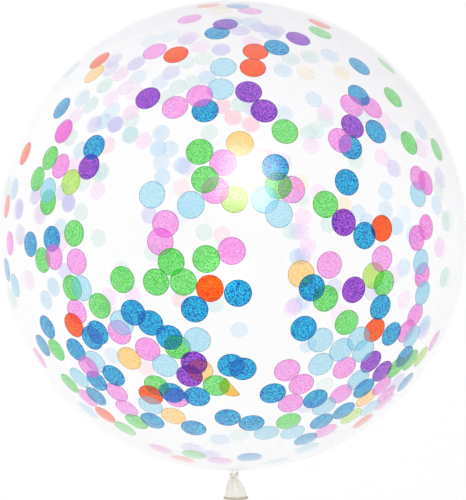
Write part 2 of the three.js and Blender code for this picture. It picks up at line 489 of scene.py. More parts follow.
def film_points():
    """The film's grid, and for each point how gathered, crowned and neckward it is.

    Gathered falls as exp(-distance from the throat / fade), in streaks. The
    crown, where grey shade is painted, leans to +X: its middle is at the lean
    angle from the +Y axis.
    """
    across, along = ball_outline()
    turn = circle_steps(FILM_COLUMNS)
    lean = np.clip((-HALF_LENGTH - along) / KNOT_START, 0, 1) * NECK_SWAY
    x = across[:, None] * np.cos(turn) + lean[:, None]
    z = across[:, None] * np.sin(turn)
    y = np.broadcast_to(along[:, None], x.shape)
    ring = np.stack((x, y, z), axis=-1) + BALL_MIDDLE
    grid = press_flat(ring)
    near_neck = (along < 0) * np.exp(-np.maximum(across - THROAT_DIAMETER / 2, 0) / GATHER_FADE)
    swing = STREAK_SWING * np.sin(3 * turn)
    streaks = 1 - STREAK_DEPTH * (0.5 + 0.5 * np.cos(GATHER_STREAKS * turn + swing))
    gathered = near_neck[:, None] * (1 - (1 - near_neck[:, None]) * (1 - streaks))
    sideways = across[:, None] * np.cos(turn) / BALL_RADIUS
    up = y / HALF_LENGTH
    # Painted shade: how near each point is to the shaded crown.
    towards = up * math.cos(CROWN_SHADE_LEAN) + sideways * math.sin(CROWN_SHADE_LEAN)
    crown_shade = soft_step(towards, CROWN_SHADE_START, CROWN_SHADE_FULL)
    neckward = soft_step(-up, NECKWARD_START, NECKWARD_FULL)
    return grid, gathered, crown_shade, neckward


grid, gathered, crown_shade, neckward = film_points()
rows, columns = grid.shape[:2]
far_pole = press_flat(BALL_MIDDLE + (0, HALF_LENGTH, 0))
neck_pole = BALL_MIDDLE + (0, grid[-1, 0, 1], 0)
film_vertices = np.vstack((grid.reshape(-1, 3), far_pole, neck_pole))
film_quads, film_fans = grid_quads(rows, columns), end_fans(rows, columns, True)
film = make_piece("balloon_film", film_vertices, film_quads, film_fans, [clear_film])
add_attribute(film, "gathered", np.concatenate((gathered.ravel(), (0.0, 1.0))))
add_attribute(film, "crown_shade", np.concatenate((crown_shade.ravel(), (1.0, 0.0))))
add_attribute(film, "neckward", np.concatenate((neckward.ravel(), (0.0, 1.0))))
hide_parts("balloon")

# %% [markdown]
# Where the paper lies.
#
# Each disc clings to the inside of the film. Its place is given by where its
# middle shows in the picture, and whether it is on the near side or the far
# side. A line from the camera through that pixel meets the ball twice, and
# halving the interval finds each meeting. Wherever it is seen from, the disc
# then sits on the film.

# %% From a pixel to the film
HALVINGS = 40


def ball_level(points):
    """Under 1 inside the ball and over 1 outside: (x^2 + z^2) / R^2 + y^2 / L^2."""
    return np.sum((points / (BALL_RADIUS, HALF_LENGTH, BALL_RADIUS)) ** 2, axis=-1)


def onto_ball(points):
    """Points, counted from the ball's middle, moved straight out or in to its surface."""
    return points / np.sqrt(ball_level(points))[..., None]


def on_film(pixels, far):
    """The places on the film, from the ball's middle, that show at these pixels.

    A point of the line is camera + t aim. The interval of t that holds the
    meeting is halved again and again, always keeping the half that holds it.
    """
    pixels = np.asarray(pixels, dtype=float).reshape(-1, 2)
    aim = np.column_stack(
        (
            (pixels[:, 0] - BALL_MIDDLE_PIXEL[0]) / FOCAL_PIXELS,
            (BALL_MIDDLE_PIXEL[1] - pixels[:, 1]) / FOCAL_PIXELS,
            -np.ones(len(pixels)),
        )
    )
    start = camera_point - BALL_MIDDLE
    nearest = -(aim @ start) / np.sum(aim * aim, axis=1)
    inside = nearest
    outside = nearest + (BALL_DIAMETER if far else -BALL_DIAMETER)
    for _ in range(HALVINGS):
        middle = (inside + outside) / 2
        within = ball_level(start + middle[:, None] * aim) < 1
        inside = np.where(within, middle, inside)
        outside = np.where(within, outside, middle)
    return onto_ball(start + inside[:, None] * aim)


# %% [markdown]
# One disc of tissue paper.
#
# A disc is punched from tissue, 43 mm across. It is made as a cap of 24
# sides with a middle point, an inner face and a thin rim, so it curves with
# the film. All the discs of one colour are one mesh, worked out at once. Each
# colour is given a layer of the pile, so that where two discs overlap the
# right one shows on top, and a few lie against the film over all others.
# Those on the far side show a little larger, for two films blur them.
#
# The outer faces and the inner ones have a material each. The mesh also holds
# four numbers for them: reach is 0 at the middle of a disc and 1 at its rim,
# and speckle, tone and fade differ from disc to disc, as paper does. Tone is
# high at the sides of the ball, where the tissue is seen aslant and is deeper.

# %% Disc mesh
DISC_DIAMETER = 43 * MM
DISC_SIDES = 24
PAPER_THICKNESS = 0.15 * MM
CLING_GAP = 0.4 * MM
LAYER_DEPTH = 0.5 * MM
FAR_SPREAD = 1.09
BOLD_FADE = 1.7
SIDE_START, SIDE_FULL = 0.45, 0.82
CHANCE_TONE, SIDE_TONE = 0.4, 0.6
LEAST_SPECKLE = 0.8
LEAST_FADE, MOST_FADE = 0.7, 1.3
FADE_SEED = 50
GOLDEN = 0.618034
SEED_STEP = 0.37
DISC_AHEAD = (0.2, 0.35, 0.9)


def disc_points(middles, depths, widths, along, shape):
    """Points of caps that lie on the film, moved in from it by a depth.

    shape holds (x, y) for each point on a flat disc of radius 1. A point is
    the disc's middle + radius (x t1 + y t2), moved onto the ball, where t1
    and t2 are directions square to the film's normal, and t2 points along.
    The radius is half of each disc's width.
    """
    outward = middles / np.square((BALL_RADIUS, HALF_LENGTH, BALL_RADIUS))
    outward /= np.linalg.norm(outward, axis=1, keepdims=True)
    first = np.cross(along, outward)
    first /= np.linalg.norm(first, axis=1, keepdims=True)
    second = np.cross(outward, first)
    spread = shape[None, :, 0, None] * first[:, None] + shape[None, :, 1, None] * second[:, None]
    flat = middles[:, None] + widths[:, None, None] / 2 * spread
    pressed = press_flat(onto_ball(flat) + BALL_MIDDLE) - BALL_MIDDLE
    return pressed * (1 - depths[:, None, None] / BALL_RADIUS) + BALL_MIDDLE


def disc_faces(count):
    """Quads and triangles of the discs: the rim, a fan outside and a fan inside."""
    side = np.arange(DISC_SIDES)
    after = (side + 1) % DISC_SIDES
    outer, inner = 1 + side, 1 + DISC_SIDES + side
    outer_after, inner_after = 1 + after, 1 + DISC_SIDES + after
    rim = np.stack((outer, inner, inner_after, outer_after), axis=1)
    last = np.full(DISC_SIDES, 2 * DISC_SIDES + 1)
    outside = np.stack((np.zeros(DISC_SIDES, int), outer, outer_after), axis=1)
    inside = np.stack((last, inner_after, inner), axis=1)
    fans = np.vstack((outside, inside))
    step = (np.arange(count) * (2 * DISC_SIDES + 2))[:, None, None]
    return (rim[None] + step).reshape(-1, 4), (fans[None] + step).reshape(-1, 3)


def make_discs(name, middles, depths, widths, fades, shape, along, papers, grain, seed):
    """One mesh of paper pieces. shape is the hub and then the outline of each.

    Speckle is the grain times a chance number, and tone is a chance number and
    how far the disc lies to a side of the ball, each times its share.
    """
    count = len(middles)
    turned = np.vstack((shape[1:], shape[:1]))
    outer = disc_points(middles, depths, widths, along, shape)
    inner = disc_points(middles, depths + PAPER_THICKNESS, widths, along, turned)
    points = np.concatenate((outer, inner), axis=1).reshape(-1, 3)
    quads, triangles = disc_faces(count)
    piece = make_piece("confetti_" + name, points, quads, triangles, papers, smooth=False)
    used = np.concatenate((np.zeros(len(quads)), np.tile((0, 1), (count, 1)).repeat(DISC_SIDES)))
    piece.data.polygons.foreach_set("material_index", used.astype(np.int32))
    chance = np.random.default_rng(seed)
    size = 2 * DISC_SIDES + 2
    reach = np.concatenate(((0.0,), np.ones(2 * DISC_SIDES), (0.0,)))
    add_attribute(piece, "reach", np.tile(reach, count))
    side = soft_step(np.abs(middles[:, 0]) / BALL_RADIUS, SIDE_START, SIDE_FULL)
    tone = CHANCE_TONE * chance.uniform(0.0, 1.0, count) + SIDE_TONE * side
    speckle = grain * chance.uniform(LEAST_SPECKLE, 1.0, count)
    add_attribute(piece, "speckle", np.repeat(speckle, size))
    add_attribute(piece, "tone", np.repeat(tone, size))
    add_attribute(piece, "fade", np.repeat(fades, size))


turn = circle_steps(DISC_SIDES)
ROUND_SHAPE = np.vstack(((0.0, 0.0), np.column_stack((np.cos(turn), np.sin(turn)))))


def lay_discs(name, near, far, papers, layer, grain, seed, bold=(), outermost=()):
    """One mesh with every disc of a colour, on the near film and on the far film.

    The bold ones lie on the far film too and show more strongly. The
    outermost ones lie on the near film, over the discs of every colour. The
    depth is gap + layer depth (1 + layer + order), where order steps by the
    golden share from disc to disc, and is smaller for the outermost ones.
    """
    groups = (on_film(near, False), on_film(outermost, False), on_film((*far, *bold), True))
    middles = np.vstack(groups)
    order = (np.arange(len(middles)) * GOLDEN + seed * SEED_STEP) % 1
    on_top = slice(len(near), len(near) + len(outermost))
    depths = CLING_GAP + LAYER_DEPTH * (1 + layer + order)
    depths[on_top] -= LAYER_DEPTH * (1 + layer)
    widths = np.full(len(middles), DISC_DIAMETER)
    widths[on_top.stop :] *= FAR_SPREAD
    chance = np.random.default_rng(seed + FADE_SEED)
    fades = chance.uniform(LEAST_FADE, MOST_FADE, len(middles))
    fades[len(middles) - len(bold) :] = BOLD_FADE
    along = np.tile(DISC_AHEAD, (len(middles), 1))
    make_discs(name, middles, depths, widths, fades, ROUND_SHAPE, along, papers, grain, seed)


# %% [markdown]
# Tissue paper, as a group that all eight colours share.
#
# Tissue is a felt of short fibres. Held to the light it is mottled, with
# dense specks and thin ones, and its punched rim is denser. The group puts
# out the deep colour of the fibres, ink^6, or a shade of ink^3 at the rim,
# how much of what is behind them they cover, and a height for a faint bump.
# The cover comes partly in specks and partly evenly, by the share speckle.

# %% Tissue group
SPECK_SCALE = 540.0
THIN_COVER = 0.06
EVEN_COVER = 0.38
SPECK_COVER = 1.0
RIM_COVER = 0.85
RIM_SHADE = (0.42, 0.42, 0.47, 1.0)
THIN_SPECK, THICK_SPECK = 0.47, 0.57
RIM_START, RIM_FULL = 0.91, 0.97
TONE_BASE, TONE_GAIN = 0.8, 0.7


def tissue_group():
    """The node group that turns a plain ink colour into mottled tissue paper."""
    group, given, result = new_group(
        "tissue_paper",
        {"Ink": "Color", "Speckle": "Float", "Tone": "Float", "Reach": "Float"},
        {"Colour": "Color", "Cover": "Float", "Height": "Float"},
    )
    place = group.nodes.new("ShaderNodeTexCoord").outputs["Object"]
    specks = add_node(group, "TexNoise", Scale=SPECK_SCALE, Detail=1.0, Roughness=0.6)
    group.links.new(place, specks.inputs["Vector"])
    thick = step_between(
        group, specks.outputs["Fac"], THIN_SPECK, THICK_SPECK, 0.0, SPECK_COVER
    )
    more = times(group, sum_up(group, "SUBTRACT", thick, EVEN_COVER), given.outputs["Speckle"])
    dense = sum_up(group, "ADD", more, EVEN_COVER + THIN_COVER)
    weight = sum_up(group, "ADD", times(group, given.outputs["Tone"], TONE_GAIN), TONE_BASE)
    dense = times(group, dense, weight, clamp=True)
    rim = step_between(group, given.outputs["Reach"], RIM_START, RIM_FULL)
    cover = sum_up(group, "MAXIMUM", dense, times(group, rim, RIM_COVER))
    ink = given.outputs["Ink"]
    deep = tint_by(group, tint_by(group, ink, ink), ink)
    edge = tint_by(group, deep, RIM_SHADE)
    fibre_tone = mix_colours(group, rim, tint_by(group, deep, deep), edge)
    group.links.new(fibre_tone, result.inputs["Colour"])
    group.links.new(cover, result.inputs["Cover"])
    group.links.new(specks.outputs["Fac"], result.inputs["Height"])
    return group


tissue_paper = tissue_group()

# %% [markdown]
# One paper colour.
#
# Light comes through tissue more than it bounces off it, so two discs that
# overlap multiply to a deeper colour. On the near film a line of sight meets
# the outer face first, which shows the fibres, and then the inner face from
# behind, which tints what is beyond. Across the ball it meets an inner face
# from its front, through the milky film, where the real discs look pale and
# soft. So that side is faint, already paled, and fades out at the rim. Light
# on its way to a matt surface passes freely.

# %% Paper materials
FAR_SHARE = 0.45
FAR_EDGE_START = 0.78
PAPER_ROUGHNESS = 0.85
FIBRE_GLOSS = 0.12


def is_behind(tree):
    """1 where a face is met from behind, else 0."""
    return tree.nodes.new("ShaderNodeNewGeometry").outputs["Backfacing"]


def outer_paper(name, ink):
    """The face that clings to the film: mottled fibres, and nothing from behind."""
    material, tree, output = new_tree(name)
    grain = tree.nodes.new("ShaderNodeGroup")
    grain.node_tree = tissue_paper
    grain.inputs["Ink"].default_value = ink
    for number in ("Speckle", "Tone", "Reach"):
        tree.links.new(read_attribute(tree, number.lower()), grain.inputs[number])
    bump = add_node(tree, "Bump", Strength=0.2, Distance=0.0004)
    tree.links.new(grain.outputs["Height"], bump.inputs["Height"])
    fibres = add_node(
        tree, "BsdfPrincipled", Roughness=PAPER_ROUGHNESS, Specular_IOR_Level=FIBRE_GLOSS
    )
    tree.links.new(grain.outputs["Colour"], fibres.inputs["Base Color"])
    tree.links.new(bump.outputs[0], fibres.inputs["Normal"])
    front = sum_up(tree, "SUBTRACT", 1.0, is_behind(tree))
    cover = times(tree, grain.outputs["Cover"], front, passes_freely(tree))
    tree.links.new(cover, fibres.inputs["Alpha"])
    tree.links.new(fibres.outputs[0], output.inputs["Surface"])
    return material


def inner_paper(name, ink, pale_ink):
    """The face that looks inwards: a clear tint from behind, pale paper from its front."""
    material, tree, output = new_tree(name)
    free = passes_freely(tree)
    pale = add_node(tree, "BsdfPrincipled", Base_Color=pale_ink, Roughness=PAPER_ROUGHNESS)
    reach = read_attribute(tree, "reach")
    soft = step_between(tree, reach, FAR_EDGE_START, 1.0, FAR_SHARE, 0.0)
    share = times(tree, soft, read_attribute(tree, "fade"), free)
    tree.links.new(share, pale.inputs["Alpha"])
    tint = add_node(tree, "BsdfTransparent", Color=ink)
    whole = mix_shaders(tree, times(tree, is_behind(tree), free), pale.outputs[0], tint.outputs[0])
    tree.links.new(whole, output.inputs["Surface"])
    return material


def paper_pair(name, ink, pale_ink):
    """The materials of both faces of one paper."""
    return [outer_paper(name, ink), inner_paper(name + "_inside", ink, pale_ink)]


# %% [markdown]
# The azure discs.
#
# Each pair of numbers is where the middle of a disc shows in the picture,
# first those that cling to the near film, then the paler ones seen across
# the ball on the far film.

# %% Azure confetti
AZURE_NEAR = (
    (217, 32), (277, 46.5), (360, 65.5), (205, 110), (359.5, 94.5), (376.5, 131),
    (351, 146.5), (347.5, 182), (275.5, 167), (365.3, 235.5), (93.3, 146.8), (51, 239),
    (29.5, 244.3), (61, 107.5), (194.5, 309.5), (238, 293.5), (132.7, 313), (150, 323.5),
    (169, 338), (97, 333), (91.3, 338.5), (46.5, 327.5), (42, 346), (75.2, 350.2),
    (113, 376.3), (96, 381.5), (95.5, 397), (171.5, 393.5), (196.8, 397.5), (152, 421.5),
    (193.5, 429), (231, 366), (243, 369.5), (227.7, 418.5), (251.7, 424), (273, 394),
    (304, 329), (312.3, 288), (315.8, 399.7), (322, 422.3), (344.3, 411.5), (364.5, 389),
    (381, 307.5), (392.3, 334.5), (405.3, 357), (406, 382.7), (306, 440), (249.5, 458),
    (6.3, 270), (238, 5),
)
AZURE_FAR = (
    (138, 77), (82, 98), (112, 110), (103, 121), (160, 82), (161, 133), (158, 148),
    (170, 149), (161, 162), (182, 165), (162, 177), (284, 113), (283, 70), (314, 99),
    (298, 257), (386, 191), (386, 210), (358, 213), (367, 222), (397, 226), (80, 150),
    (40, 213), (60, 228), (53, 287), (46, 300), (112, 356), (239, 330), (303, 302),
    (308, 345), (220, 440), (330, 55), (207, 77), (413, 235), (395, 131), (421, 130),
    (232, 21), (251, 22), (271, 34), (130, 134), (437, 205), (404, 268),
)
AZURE_BOLD = ((14, 189), (71, 70), (425, 325))
azure_papers = paper_pair("paper_azure", colour(44, 203, 238), colour(174, 213, 240))
lay_discs(
    "azure", AZURE_NEAR, AZURE_FAR, azure_papers, layer=0, grain=1.35, seed=1, bold=AZURE_BOLD
)

# %% [markdown]
# The aqua discs.
#
# The palest blue. Against white they show mostly by their rims and where
# they overlap.

# %% Aqua confetti
AQUA_NEAR = (
    (223.3, 66), (220.5, 88), (46.8, 190), (151.5, 194.5), (190.7, 204.7), (265, 199.5),
    (279.3, 213.8), (419, 194), (80.5, 288.5), (121.2, 323.4), (197, 340.5), (321, 340.7),
    (321.3, 365), (342, 350.5), (359.3, 339.3), (364, 351.5), (359, 380.5), (324.7, 407.3),
    (164.7, 366.5), (150, 406.3), (94.5, 362.5), (78.2, 378.7), (266.7, 434), (293, 433.5),
    (422, 262), (423.7, 293.5), (412.8, 337.5), (14, 285.5), (87.5, 411), (371, 409),
    (307.5, 449), (277, 462.5),
)
AQUA_FAR = ((170, 36), (180, 215), (150, 40), (405, 215))
aqua_papers = paper_pair("paper_aqua", colour(221, 244, 250), colour(212, 238, 249))
lay_discs("aqua", AQUA_NEAR, AQUA_FAR, aqua_papers, layer=1, grain=0.25, seed=2)

# %% [markdown]
# The green discs.
#
# A cluster of them lies left of the middle, where they touch and overlap.

# %% Green confetti
GREEN_NEAR = (
    (321, 31), (285.5, 130.5), (388, 64.5), (394.5, 96), (410.7, 142), (438.3, 149),
    (48.5, 157.3), (36, 178.5), (46.5, 202), (72.5, 233.3), (41, 260.3), (70.8, 288.3),
    (98.5, 306.5), (121.3, 280), (155.3, 282.5), (170.5, 262), (182.7, 282.5), (206, 259.3),
    (199.3, 151), (204.7, 179), (278.7, 185), (177, 348), (155.8, 387), (216, 387),
    (135.7, 423.3), (124, 430), (55, 350.7), (68.3, 384.5), (289, 422.7), (326.3, 299),
    (347.7, 323.3), (385.3, 283.7), (326.5, 204), (397.5, 368.5), (411.5, 361),
    (193.7, 456.3),
)
GREEN_FAR = (
    (104, 85), (90, 104), (131, 119), (130, 135), (178, 86), (192, 82), (166, 97),
    (204, 58), (186, 62), (240, 104), (209, 132), (291, 58), (310, 56), (326, 119),
    (316, 130), (309, 133), (301, 198), (329, 224), (356, 160), (70, 137), (99, 173),
    (82, 182), (80, 212), (98, 238), (122, 270), (204, 232), (291, 231), (215, 305),
    (152, 253), (325, 386), (240, 436), (364, 115), (439, 190), (101, 171),
)
GREEN_BOLD = ((445.5, 277.5), (447.3, 221), (12, 298.5), (6.5, 187))
green_papers = paper_pair("paper_green", colour(160, 242, 157), colour(196, 227, 222))
lay_discs(
    "green", GREEN_NEAR, GREEN_FAR, green_papers, layer=3, grain=0.85, seed=3, bold=GREEN_BOLD
)

# %% [markdown]
# The lime discs.
#
# Only a few are this yellower green.

# %% Lime confetti
LIME_NEAR = ((69, 181.5), (234.3, 198.7), (375, 276), (352.5, 418), (423, 358))
lime_papers = paper_pair("paper_lime", colour(232, 247, 173), colour(215, 236, 195))
lay_discs("lime", LIME_NEAR, (), lime_papers, layer=5, grain=0.5, seed=4)

# %% [markdown]
# The purple discs.
#
# The deepest colour, and the one that shows best across the ball, where it
# turns to lavender.

# %% Purple confetti
PURPLE_NEAR = (
    (225.3, 23), (298.5, 37.5), (248.7, 91), (264.3, 110), (147.3, 97.3), (353.3, 125.5),
    (344.5, 222.3), (88, 166.3), (354.5, 290.2), (193.8, 363.7), (189.3, 376.8),
    (371.7, 362.5), (383, 372),
)
PURPLE_FAR = (
    (113, 60), (110, 69), (136, 63), (94, 124), (171, 72), (221, 49),
    (187, 39), (252, 108), (149, 215), (186, 167), (283, 161), (297, 231), (303, 256),
    (394, 168), (440, 178), (62, 192), (35, 195), (20, 235), (65, 272),
    (335, 287), (295, 306), (372, 292), (424, 330), (192, 448), (210, 455), (397, 382),
    (306, 407), (240, 30), (260, 27), (275, 30),
)
PURPLE_BOLD = ((115, 124), (68, 203), (18.3, 209))
purple_papers = paper_pair("paper_purple", colour(192, 92, 232), colour(190, 184, 238))
lay_discs(
    "purple", PURPLE_NEAR, PURPLE_FAR, purple_papers, layer=1, grain=1.35, seed=5, bold=PURPLE_BOLD
)

# %% [markdown]
# The pink discs.
#
# There are nearly as many of them as of the azure ones. Where two overlap
# they turn to a stronger pink. A few lie over discs of every other colour.

# %% Pink confetti
PINK_NEAR = (
    (189, 17), (250, 8.7), (154, 49.5), (174.3, 106), (373, 106), (62.2, 131),
    (58.8, 165.3), (223, 161.8), (215, 189.8), (164.7, 223.7), (159.5, 241.7),
    (231.7, 251.2), (292.3, 189), (427.7, 182.5), (428, 227), (418.7, 238), (383.5, 259),
    (330.5, 265.3), (424, 275.5), (417, 316), (408, 332), (75, 262), (75.2, 312.5),
    (118.3, 333.3), (146.8, 350.3), (115.5, 393.8), (125.7, 410), (176, 399.5),
    (287.7, 371.7), (302, 385.7), (291.3, 405), (345.5, 369.3), (342.3, 395.7),
    (383.3, 387.5), (387.5, 396), (326.3, 433), (86, 399.5), (8, 243.3), (160, 451),
    (219.5, 462.7), (436, 342), (38, 359), (386, 403),
)
PINK_OUTERMOST = (
    (199.5, 95.3), (352, 105), (340.5, 140.2), (53.3, 257), (418.5, 178), (88, 367.3),
    (62.8, 130.4),
)
PINK_FAR = (
    (125, 87), (120, 73), (110, 98), (134, 92), (75, 115), (200, 46), (252, 41),
    (326, 112), (312, 145), (143, 140), (303, 217), (303, 232), (308, 247), (319, 192),
    (383, 157), (385, 120), (421, 148), (97, 190), (72, 166), (39, 215), (292, 309),
    (340, 313), (396, 275), (405, 300), (132, 295), (108, 297), (60, 242), (28, 280),
    (107, 308), (190, 36), (130, 112),
)
PINK_BOLD = ((440.5, 247.5),)
pink_papers = paper_pair("paper_pink", colour(251, 206, 246), colour(245, 207, 240))
lay_discs(
    "pink", PINK_NEAR, PINK_FAR, pink_papers, layer=4, grain=0.48, seed=6, bold=PINK_BOLD,
    outermost=PINK_OUTERMOST,
)

# %% [markdown]
# The orange discs.
#
# The brightest ones. Across the ball they look salmon pink.

# %% Orange confetti
ORANGE_NEAR = (
    (175.5, 53.3), (255.7, 50.3), (253, 66.3), (208, 4), (320, 22.5), (98.5, 59.3),
    (24, 153), (5.3, 206), (383, 228.3), (375.3, 330.7), (209.7, 288.8), (72.7, 325.7),
    (150.3, 396), (104.3, 416), (182.3, 460.3), (364, 422.5),
)
ORANGE_FAR = (
    (181, 187), (222, 235), (268, 157), (107, 145), (146, 369), (180, 300),
)
ORANGE_BOLD = ((222, 106), (233, 117), (251, 124))
orange_papers = paper_pair("paper_orange", colour(253, 119, 0), colour(249, 198, 212))
lay_discs(
    "orange", ORANGE_NEAR, ORANGE_FAR, orange_papers, layer=2, grain=1.2, seed=7, bold=ORANGE_BOLD
)

# %% [markdown]
# The peach discs.
#
# A warm pale yellow. One of them is folded in two: what shows is a half disc
# of double paper, with its straight edge between two points of the picture.

# %% Peach confetti
PEACH_NEAR = (
    (92.5, 72), (240, 142.5), (302, 274.5), (128, 360), (199.5, 372), (172.7, 418),
    (367.5, 400),
)
PEACH_FAR = ((222, 9), (300, 183), (345, 205), (343, 72), (306, 72))
peach_papers = paper_pair("paper_peach", colour(254, 239, 186), colour(247, 224, 183))
lay_discs("peach", PEACH_NEAR, PEACH_FAR, peach_papers, layer=5, grain=0.4, seed=8)

FOLD_EDGE = ((226, 380), (240, 396))
FOLD_DEPTHS = np.array((4.0, 4.5)) * MM
FOLD_GRAIN = 0.45
FOLD_SEED = 9
HUB_SHIFT = -0.4
fold_ends = on_film(FOLD_EDGE, False)
half_turn = math.pi / 2 + math.pi * np.arange(DISC_SIDES) / (DISC_SIDES - 1)
half_rim = np.column_stack((np.cos(half_turn), np.sin(half_turn)))
HALF_SHAPE = np.vstack(((HUB_SHIFT, 0.0), half_rim))
make_discs(
    "folded",
    np.tile(onto_ball(fold_ends.mean(axis=0)), (2, 1)),
    FOLD_DEPTHS,
    np.full(2, DISC_DIAMETER),
    np.ones(2),
    HALF_SHAPE,
    np.tile(fold_ends[0] - fold_ends[1], (2, 1)),
    peach_papers,
    FOLD_GRAIN,
    FOLD_SEED,
)

# %% [markdown]
# The knot.
#
# The neck is twisted and tucked through itself. What shows is a thick ring
# of twisted plies round the bundle, and below it two lobes: one runs
# straight down, the other hooks over the front. The ring is a torus whose
# tube swells in plies that wind round it. The lobes are round sections
# carried along cubic curves, whose handles are set by shares of the knot's
# own width, depth and length.

# %% Knot
KNOT_WIDTH = 18.2 * MM
KNOT_DEPTH = 14 * MM
RING_THICKNESS = 8.5 * MM
RING_TILT = math.radians(10)
RING_PLIES = 3
RING_TWIST = 2
PLY_RELIEF = 1.5 * MM
GROOVE_POWER = 1.6
FOLD_RELIEF = 0.2 * MM
LOBE_RELIEF = 0.06
KNOT_SHADE = 0.24
LOBE_DIAMETER = 5.2 * MM
GATHER_LENGTH = 8 * MM
RING_ROUND = 144
RING_ACROSS = 60
LOBE_ROWS = 48
LOBE_COLUMNS = 28


def neck_point(x, along, z):
    """Points of the knot or tail at a distance along the neck from the ball's pole."""
    x, along, z = np.broadcast_arrays(x, along, z)
    return np.stack((NECK_SWAY + x, -HALF_LENGTH - along, AXIS_HEIGHT + z), axis=-1)


def ring_surface():
    """The knot's ring and the depth of its grooves, 0 to 1.

    Groove: g = (1 - cos(plies (across - twist round))) / 2. Tube radius:
    tube - relief g^power, less a finer fold that winds with it.
    """
    tube = RING_THICKNESS / 2
    major = KNOT_WIDTH / 2 - tube
    turn = circle_steps(RING_ROUND)[:, None]
    across = circle_steps(RING_ACROSS)[None]
    winding = across - RING_TWIST * turn
    groove = (1 - np.cos(RING_PLIES * winding)) / 2
    folds = (1 - np.cos(RING_PLIES * 4 * winding + 2 * np.sin(5 * turn))) / 2
    radius = tube - PLY_RELIEF * groove**GROOVE_POWER - FOLD_RELIEF * folds
    reach = major + radius * np.cos(across)
    x = reach * np.cos(turn)
    z = reach * np.sin(turn) * (KNOT_DEPTH / KNOT_WIDTH)
    y = -radius * np.sin(across)
    tilted_x = x * math.cos(RING_TILT) - y * math.sin(RING_TILT)
    tilted_y = x * math.sin(RING_TILT) + y * math.cos(RING_TILT)
    points = neck_point(tilted_x, KNOT_START + tube - tilted_y, z)
    # Painted shade: darkest in the grooves between plies, never lighter than the knot's base
    # shade.
    return points.reshape(-1, 3), KNOT_SHADE + (1 - KNOT_SHADE) * groove.ravel() ** 2


def lobe_surface(handles):
    """A round, ridged lobe along a cubic curve with four handles, closed at both ends.

    Curve: (1-t)^3 a + 3 (1-t)^2 t b + 3 (1-t) t^2 c + t^3 d.
    """
    a, b, c, d = handles
    t = np.linspace(0, 1, LOBE_ROWS)[:, None]
    path = (1 - t) ** 3 * a + 3 * (1 - t) ** 2 * t * b + 3 * (1 - t) * t**2 * c + t**3 * d
    ahead = np.gradient(path, axis=0)
    ahead /= np.linalg.norm(ahead, axis=1, keepdims=True)
    sideways = np.cross(ahead, (0, 0, 1))
    sideways /= np.linalg.norm(sideways, axis=1, keepdims=True)
    upward = np.cross(sideways, ahead)
    turn = circle_steps(LOBE_COLUMNS)[None, :, None]
    ridges = 1 - LOBE_RELIEF * (1 - np.cos(5 * turn + 4 * t[:, None])) / 2
    radius = LOBE_DIAMETER / 2 * ridges
    section = np.cos(turn) * sideways[:, None] + np.sin(turn) * upward[:, None]
    skin = path[:, None] + radius * section
    return np.vstack((skin.reshape(-1, 3), path[:1], path[-1:]))


def knot_arrays():
    """Points, quads, triangles and crease depth of the whole knot."""
    side = KNOT_WIDTH / 2 - LOBE_DIAMETER / 2
    top = KNOT_DEPTH / 2 - LOBE_DIAMETER / 2
    start = KNOT_START + RING_THICKNESS / 2
    length = KNOT_END - start
    left = (
        neck_point(-side * 0.6, start, 0),
        neck_point(-side, start + length * 0.5, top * 0.5),
        neck_point(-side * 0.8, KNOT_END, top * 0.5),
        neck_point(-side * 0.4, KNOT_END + GATHER_LENGTH / 2, 0),
    )
    right = (
        neck_point(side * 0.6, start, 0),
        neck_point(side * 1.2, start + length * 0.6, top),
        neck_point(side * 0.2, start + length * 0.7, top * 1.4),
        neck_point(-side * 0.2, KNOT_END + GATHER_LENGTH / 2, top * 0.4),
    )
    ring, ring_crease_shade = ring_surface()
    parts, crease_shades = [ring], [ring_crease_shade]
    quads, triangles = [grid_quads(RING_ROUND, RING_ACROSS, close_rows=True)], []
    for handles in (left, right):
        first = sum(len(part) for part in parts)
        lobe = lobe_surface(handles)
        parts.append(lobe)
        # Painted shade: the lobes are darkened all over at the knot's base shade.
        crease_shades.append(np.full(len(lobe), KNOT_SHADE))
        quads.append(grid_quads(LOBE_ROWS, LOBE_COLUMNS) + first)
        triangles.append(end_fans(LOBE_ROWS, LOBE_COLUMNS, True) + first)
    return np.vstack(parts), np.vstack(quads), np.vstack(triangles), np.concatenate(crease_shades)


# %% [markdown]
# The latex of the knot and tail.
#
# Thick latex has a soft, waxy shine. Its creases are painted shade, read from
# the mesh, which knows where its own grooves are. The knot is a little darker
# all over than the limp tail.

# %% Latex material
NECK_WRINKLES = 900.0


def latex_material():
    """Cream unstretched latex with fine wrinkles."""
    material, tree, output = new_tree("latex")
    latex = use_latex(tree, read_attribute(tree, "crease_shade"), NECK_WRINKLES)
    bump = add_node(tree, "Bump", Strength=0.25, Distance=0.0006)
    tree.links.new(latex.outputs["Height"], bump.inputs["Height"])
    skin = add_node(tree, "BsdfPrincipled")
    tree.links.new(latex.outputs["Colour"], skin.inputs["Base Color"])
    tree.links.new(latex.outputs["Roughness"], skin.inputs["Roughness"])
    tree.links.new(bump.outputs[0], skin.inputs["Normal"])
    tree.links.new(skin.outputs[0], output.inputs["Surface"])
    return material


latex = latex_material()
knot_points, knot_quads, knot_fans, knot_crease_shade = knot_arrays()
knot = make_piece("neck_knot", knot_points, knot_quads, knot_fans, [latex])
add_attribute(knot, "crease_shade", knot_crease_shade)
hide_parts("balloon")

# %% [markdown]
# The tail.
#
# Below the knot the neck is a limp, flattened sleeve. It leaves the knot in a
# blunt dome, its pleats die away towards the mouth, and the mouth ends in
# the rolled bead that every balloon has. One closed skin runs down the
# outside, round the bead, and up the inside.

